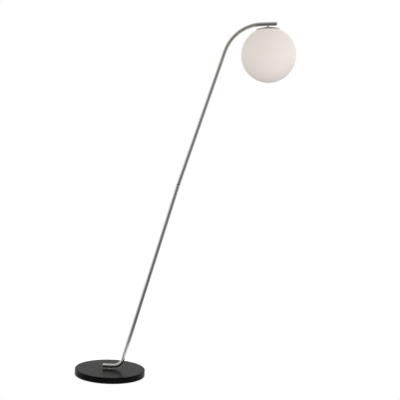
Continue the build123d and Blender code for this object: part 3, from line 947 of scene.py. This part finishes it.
# ---- head ---------------------------------------------------------------------------------------
@dataclass
class Head(Assembly):
    """Everything that hangs from the stem, about an axis that runs down from the tube's centre."""

    stem_radius: float = 5.02
    cap_radius: float = 50.0
    cap_top: float = 13.4
    cap_sag: float = 7.9
    cap_sheet: float = 1.2
    cap_skirt: float = 2.4
    crown_points: int = 40
    rivet_circle: float = 25.0
    spring_angles: tuple[float, ...] = (60.0, 180.0, 300.0)
    ribs: int = 36
    rib_depth: float = 0.35
    rib_ends: tuple[float, float] = (41.0, 62.0)
    rib_floor: float = 18.0

    def build(self) -> None:
        """Makes the stem, cap, gallery, springs and lampholder."""
        self.stem()
        self.cap()
        self.gallery()
        self.springs()
        self.lampholder()
        dress(ZINC, "stem_insert", "cap_nut")

    def stem(self) -> None:
        """Turns the hollow stem with a plain neck."""
        outline = rounded([
            (4, 3.2), (4, 5), (7.8, 5), (8.2, 4.6), (13.2, 4.6, 0.2), (13.5, 5), (28, 5, 0.4), (28, 3.2),
        ], steps=3)
        self.turn("stem", "stem_nipple", outline, NICKEL, 40)

    def dome(self, radius: float, centre: float, last: float) -> list[tuple[float, float]]:
        """Crown from the stem outwards: s = centre - sqrt(radius squared - r squared)."""
        r = np.linspace(self.stem_radius, last, self.crown_points)
        return list(zip(centre - np.sqrt(radius**2 - r**2), r))

    def cap(self) -> None:
        """Spins the cap: a crown of one radius, a tight turn, and a short skirt with a rolled lip."""
        crown = (self.cap_radius**2 + self.cap_sag**2) / (2 * self.cap_sag)
        centre, shoulder = self.cap_top + crown, self.cap_top + self.cap_sag
        rim, inside = shoulder + self.cap_skirt, self.cap_radius - self.cap_sheet
        outer = self.dome(crown, centre, self.cap_radius - 1.4)
        inner = self.dome(crown - self.cap_sheet, centre, self.cap_radius - 2.6)[::-1]
        skirt = rounded([
            outer[-1], (shoulder - 0.02, self.cap_radius, 1.0), (rim, self.cap_radius, 0.45),
            (rim, inside, 0.45), (shoulder + 0.6, inside, 0.5), (0, 0),
        ], steps=6)[1:-1]
        # The cap takes the darker, painted-shade copy of satin nickel.
        self.turn("spun_cap", "globe_cap", np.concatenate([outer, skirt, inner]), SHADED_CAP_NICKEL, 128)

    def gallery(self) -> None:
        """Makes the plate that carries the springs, and the silicone seat for the glass."""
        bore = self.stem_radius
        plate = rounded([(19, bore), (19, 30, 0.5), (20.5, 30, 0.5), (20.5, bore)])
        self.turn("gallery_disc", "gallery_plate", spread(plate, 8.0), ZINC, 96)
        seat = rounded([(21.0, 44.5, 0.3), (21.9, 47.5, 0.3), (23.2, 47.5, 0.4), (22.0, 44.5, 0.3)])
        self.turn("silicone_seat", "seat_gasket", seat, SILICONE, 96)

    def springs(self) -> None:
        """Bends the three leaf springs, and makes the rivets that hold them."""
        bends = rounded([
            (20.92, 21), (20.92, 36.4, 1.6), (24.5, 39.6, 2.0), (29.5, 39.6, 2.0), (33.6, 36.4),
        ], steps=6)
        line = spread(bends, 1.5, closed=False)
        section = rounded([(-6, -0.4, 0.35), (6, -0.4, 0.35), (6, 0.4, 0.35), (-6, 0.4, 0.35)], steps=3)
        rivet = rounded([
            (18.2, 0), (18.25, 1.2), (18.9, 2.6, 0.3), (19.0, 1.6), (21.2, 1.6), (21.5, 2.2, 0.2), (21.9, 0),
        ], steps=3)
        origin, down = np.array(self.axis.origin), np.array(self.axis.ahead)
        _, side, across = self.axis.at(np.array([0.0]))
        leaves, rivets = [], []
        for angle in np.radians(self.spring_angles):
            out = math.cos(angle) * side[0] - math.sin(angle) * across[0]
            path = origin + line[:, :1] * down + line[:, 1:] * out
            leaves.append(Shell.swept(path, np.cross(out, down), section))
            spine = Spine(tuple(origin + self.rivet_circle * out), self.axis.ahead, tuple(out))
            rivets.append(Shell.turned(spine, rivet, 20))
        self.gather("leaf_springs", "globe_springs", leaves, SPRING_STEEL)
        self.gather("rivets", "spring_rivets", rivets, ZINC)

    def grip(self, s: np.ndarray, r: np.ndarray, t: np.ndarray) -> np.ndarray:
        """Grip ribs outside the holder: the radius dips as (half + half cos(ribs t)) squared.

        Args:
            s: stations.
            r: radii.
            t: angles.

        Returns:
            Radius to add.
        """
        first, last = self.rib_ends
        fade = np.clip(np.minimum(s - first, last - s), 0.0, 1.0)
        dip = -self.rib_depth * (0.5 + 0.5 * np.cos(self.ribs * t)) ** 2 * fade
        return np.where(r > self.rib_floor, dip, 0.0)

    def lampholder(self) -> None:
        """Makes the two-part holder, its porcelain insert, threaded shell and centre contact."""
        bore = self.stem_radius
        top = rounded([
            (20.5, bore), (20.5, 12, 1.5), (23, 16, 2.0), (29, 19, 1.5), (38, 19, 0.2), (38, 17.2),
            (29.5, 17.2, 1.0), (24.8, 14.8, 1.0), (22.8, 11.5, 0.8), (22.8, bore),
        ])
        self.turn("holder_top", "holder_dome", top, HOLDER_BLACK, 72)
        sleeve = rounded([(38, 15.4), (38, 19.6, 0.5), (68, 19.6, 0.8), (69, 18.6, 0.5), (69, 15.4, 0.5)])
        self.turn("holder_sleeve", "holder_body", spread(sleeve, 1.5), HOLDER_BLACK, 288, relief=self.grip)
        insert = rounded([(40.5, 1.6), (40.5, 15.2, 0.5), (43.5, 15.2, 0.5), (43.5, 1.6)])
        self.turn("porcelain_disc", "holder_insert", insert, PORCELAIN, 64)
        liner = rounded([(43.5, 13.75), (43.5, 14.2, 0.1), (67, 14.2, 0.15), (67, 13.75)])
        liner = spread(liner, THREAD_STEP)
        self.turn("threaded_shell", "screw_shell", liner, BRASS, 72, relief=thread(0.15, 45.0, 66.0))
        pin = rounded([(40.5, 0), (40.5, 1.5), (43.5, 1.5), (43.5, 4, 0.15), (44.1, 4, 0.2), (44.1, 0)])
        self.turn("contact_leaf", "centre_contact", pin, BRASS, 40)


# ---- globe and bulb -----------------------------------------------------------------------------
@dataclass
class Globe(Assembly):
    """The opal globe: a blown sphere with an in-turned lip."""

    body: ClassVar[Body] = Body.GLOBE
    drop: float = 130.0
    radius: float = 116.5
    wall: float = 3.0
    mouth: float = 41.0
    depth: float = 12.0
    lip_round: float = 1.4

    def build(self) -> None:
        """Blows the globe from one outline: outside to the bottom, inside back up, round the lip."""
        inner, throat = self.radius - self.wall, self.mouth + self.wall
        outside = ball_arc(self.drop, self.radius, math.asin((self.mouth + 1.0) / self.radius), math.pi, 120)
        inside = ball_arc(self.drop, inner, math.pi, math.asin((throat + 1.2) / inner), 110)
        top = self.drop - math.sqrt(self.radius**2 - self.mouth**2)
        end = top + self.depth
        lip = rounded([
            inside[-1], (self.drop - math.sqrt(inner**2 - throat**2), throat, 1.0),
            (end, throat, self.lip_round), (end, self.mouth, self.lip_round), (top, self.mouth, 0.9),
            outside[0],
        ], steps=8)[1:-1]
        self.turn("opal_globe", "globe", np.concatenate([outside, inside, lip]), OPAL, 192)


@dataclass
class Bulb(Assembly):
    """The lamp bulb with its screw cap."""

    body: ClassVar[Body] = Body.BULB
    top: float = 44.6
    length: float = 108.0
    radius: float = 30.0
    shell_radius: float = 13.1
    shell_length: float = 26.0
    thread_depth: float = 0.35
    dome_edge: float = 5.95
    dome_wall: float = 1.2

    def build(self) -> None:
        """Makes the contact, insulator, threaded shell, housing and dome."""
        top, low, crown = self.top, self.top + self.shell_length, self.top + self.length - self.radius
        contact = rounded([(top, 0), (top, 4, 0.6), (top + 1.4, 4.6, 0.1), (top + 1.4, 0)])
        self.turn("tip_contact", "bulb_contact", contact, BRASS, 40)
        cone = rounded([(top + 1.4, 0), (top + 1.4, 5, 0.3), (top + 4, 12.6, 0.1), (top + 4, 0)])
        self.turn("glass_cone", "bulb_insulator", cone, BULB_GLASS, 64)
        crest, root = self.shell_radius, self.shell_radius - 0.75
        sleeve = rounded([(top + 4, root), (top + 4, crest, 0.3), (low, crest, 0.2), (low, root)])
        relief = thread(self.thread_depth, top + 5.0, low - 2.0)
        self.turn("bulb_thread", "bulb_shell", spread(sleeve, THREAD_STEP), BRASS, 72, relief=relief)
        neck = rounded([
            (low - 2, 0), (low - 2, 11.5), (low + 0.05, 11.5), (low + 0.05, 13.4, 0.3), (low + 6, 14.4, 6.0),
            (crown - 12, 26.5, 14.0), (crown - 6.4, 26.5, 0.4), (crown - 6.4, 0),
        ], steps=10)
        self.turn("bulb_body", "bulb_housing", neck, BULB_WHITE, 72)
        edge = math.pi - math.acos(-self.dome_edge / self.radius)
        outer = ball_arc(crown, self.radius, edge, math.pi, 40)
        inner = ball_arc(crown, self.radius - self.dome_wall, math.pi, edge + 0.01, 36)
        self.turn("bulb_lens", "bulb_dome", np.concatenate([outer, inner]), BULB_FROST, 96)


# ---- studio -------------------------------------------------------------------------------------
@dataclass(frozen=True)
class PaleFloor(Finish):
    """Matt pale studio floor."""

    colour: Colour = (0.86, 0.86, 0.86)
    mottling: float = 0.985
    glow: Colour = (1.0, 1.0, 1.0)
    glow_strength: float = 0.55

    def fill(self, graph: Graph) -> bpy.types.Node:
        """Fills in an even colour with the slightest mottle, lit a little from within.

        Args:
            graph: the material's graph.

        Returns:
            The surface shader.
        """
        mottle = graph.noise(graph.place(), 3.0, 3.0)
        shade = tuple(c * self.mottling for c in self.colour)
        return graph.node(
            "BsdfPrincipled", {}, Base_Color=graph.blend(mottle, self.colour, shade), Roughness=0.9,
            Specular_IOR_Level=0.1, Emission_Color=(*self.glow, 1.0), Emission_Strength=self.glow_strength,
        )


@dataclass(frozen=True)
class Softbox:
    """A rectangular light, unseen by the camera and in reflections."""

    name: str
    place: Point
    aim: Point
    size: tuple[float, float]
    watts: float

    def build(self) -> None:
        """Hangs the light and turns it to its aim."""
        light = bpy.data.lights.new(self.name, "AREA")
        light.shape = "RECTANGLE"
        light.size, light.size_y = self.size
        light.energy = self.watts
        lamp = bpy.data.objects.new(self.name, light)
        lamp.location = self.place
        lamp.rotation_mode = "QUATERNION"
        lamp.rotation_quaternion = (Vector(self.aim) - Vector(self.place)).to_track_quat("-Z", "Y")
        lamp.visible_camera = False
        lamp.visible_glossy = False
        bpy.context.scene.collection.objects.link(lamp)


@dataclass
class Studio:
    """Floor, surrounding light, softboxes and camera."""

    floor_radius: float = 340.0
    floor_thickness: float = 4.0
    camera_place: Point = (0.2170, -3.6240, 1.0135)
    heading: float = -2.05
    tilt: float = -3.81
    roll: float = 3.17
    lens: float = 76.74
    sensor: float = 36.0
    clip: tuple[float, float] = (0.05, 200.0)
    backdrop: Colour = (1.0, 1.0, 1.0)
    room_tint: Colour = (1.0, 0.99, 0.98)
    surround: float = 1.0
    dark_side: float = 0.26
    zenith: float = 0.72
    nadir: float = 0.25
    softboxes: tuple[Softbox, ...] = (
        Softbox("front_fill", (0.2, -3.2, 0.6), (0.6, 0.0, 1.4), (2.4, 1.6), 15.0),
        Softbox("low_fill", (0.5, -1.6, 0.2), (0.6, 0.0, 1.4), (1.4, 0.8), 11.0),
        Softbox("tall_right", (2.4, -1.6, 1.4), (0.4, 0.0, 0.9), (0.7, 2.2), 12.0),
    )

    def build(self) -> None:
        """Makes everything that isn't part of the lamp."""
        self.floor()
        self.sky()
        for softbox in self.softboxes:
            softbox.build()
        self.camera()

    def floor(self) -> None:
        """Lays a thin disc a little wider than the lamp's foot."""
        low, edge = -self.floor_thickness, self.floor_radius
        outline = spread(np.array([(low, 0.0), (low, edge), (0.0, edge), (0.0, 0.0)]), 60.0)
        floor = Shell.turned(FOOT_AXIS, outline, 96).piece("studio_floor", PaleFloor("pale_floor"))

    def sky(self) -> None:
        """Lights the room, with a dark side behind the camera; the backdrop itself is plain."""
        world = bpy.data.worlds.new("studio")
        bpy.context.scene.world = world
        world.use_nodes = True
        graph = Graph(world.node_tree)
        way = graph.node("SeparateXYZ", {}, graph.node("TexCoord", {}).outputs["Generated"])
        toward = Signal(graph, way.outputs[1])
        height = Signal(graph, way.outputs[2])
        lit = toward.ramp(-0.90, -0.25, self.dark_side, 1.0)
        low = height.ramp(-0.5, 0.1, self.nadir, self.surround)
        level = lit * low * height.ramp(0.2, 0.9, 1.0, self.zenith)
        room = graph.node("Background", {}, (*self.room_tint, 1.0), level)
        plain = graph.node("Background", {}, (*self.backdrop, 1.0), 1.0)
        seen = graph.node("LightPath", {}).outputs["Is Camera Ray"]
        mixed = graph.node("MixShader", {}, seen, room.outputs[0], plain.outputs[0])
        graph.node("OutputWorld", {}, mixed.outputs[0])

    def camera(self) -> None:
        """Sets a long lens at standing height, turned slightly about its own axis."""
        data = bpy.data.cameras.new("camera")
        data.sensor_width = self.sensor
        data.lens = self.lens
        data.clip_start, data.clip_end = self.clip
        camera = bpy.data.objects.new("camera", data)
        turn = Matrix.Rotation(math.radians(self.heading), 4, "Z")
        pitch = Matrix.Rotation(math.radians(90 + self.tilt), 4, "X")
        twist = Matrix.Rotation(math.radians(self.roll), 4, "Z")
        camera.matrix_world = Matrix.Translation(Vector(self.camera_place)) @ turn @ pitch @ twist
        bpy.context.scene.collection.objects.link(camera)
        bpy.context.scene.camera = camera
        bpy.context.scene.view_settings.view_transform = "Standard"


def main() -> None:
    """Builds the studio and the lamp, one sub-assembly after another."""
    logging.basicConfig(level=logging.INFO, format="%(name)s: %(message)s")
    Studio().build()
    Base().build()
    pole = Pole()
    pole.build()
    axis = pole.upper.branch(pole.stem_at, quarter_turn=True)
    Head(axis).build()
    Globe(axis).build()
    Bulb(axis).build()


if __name__ == "__main__":
    main()
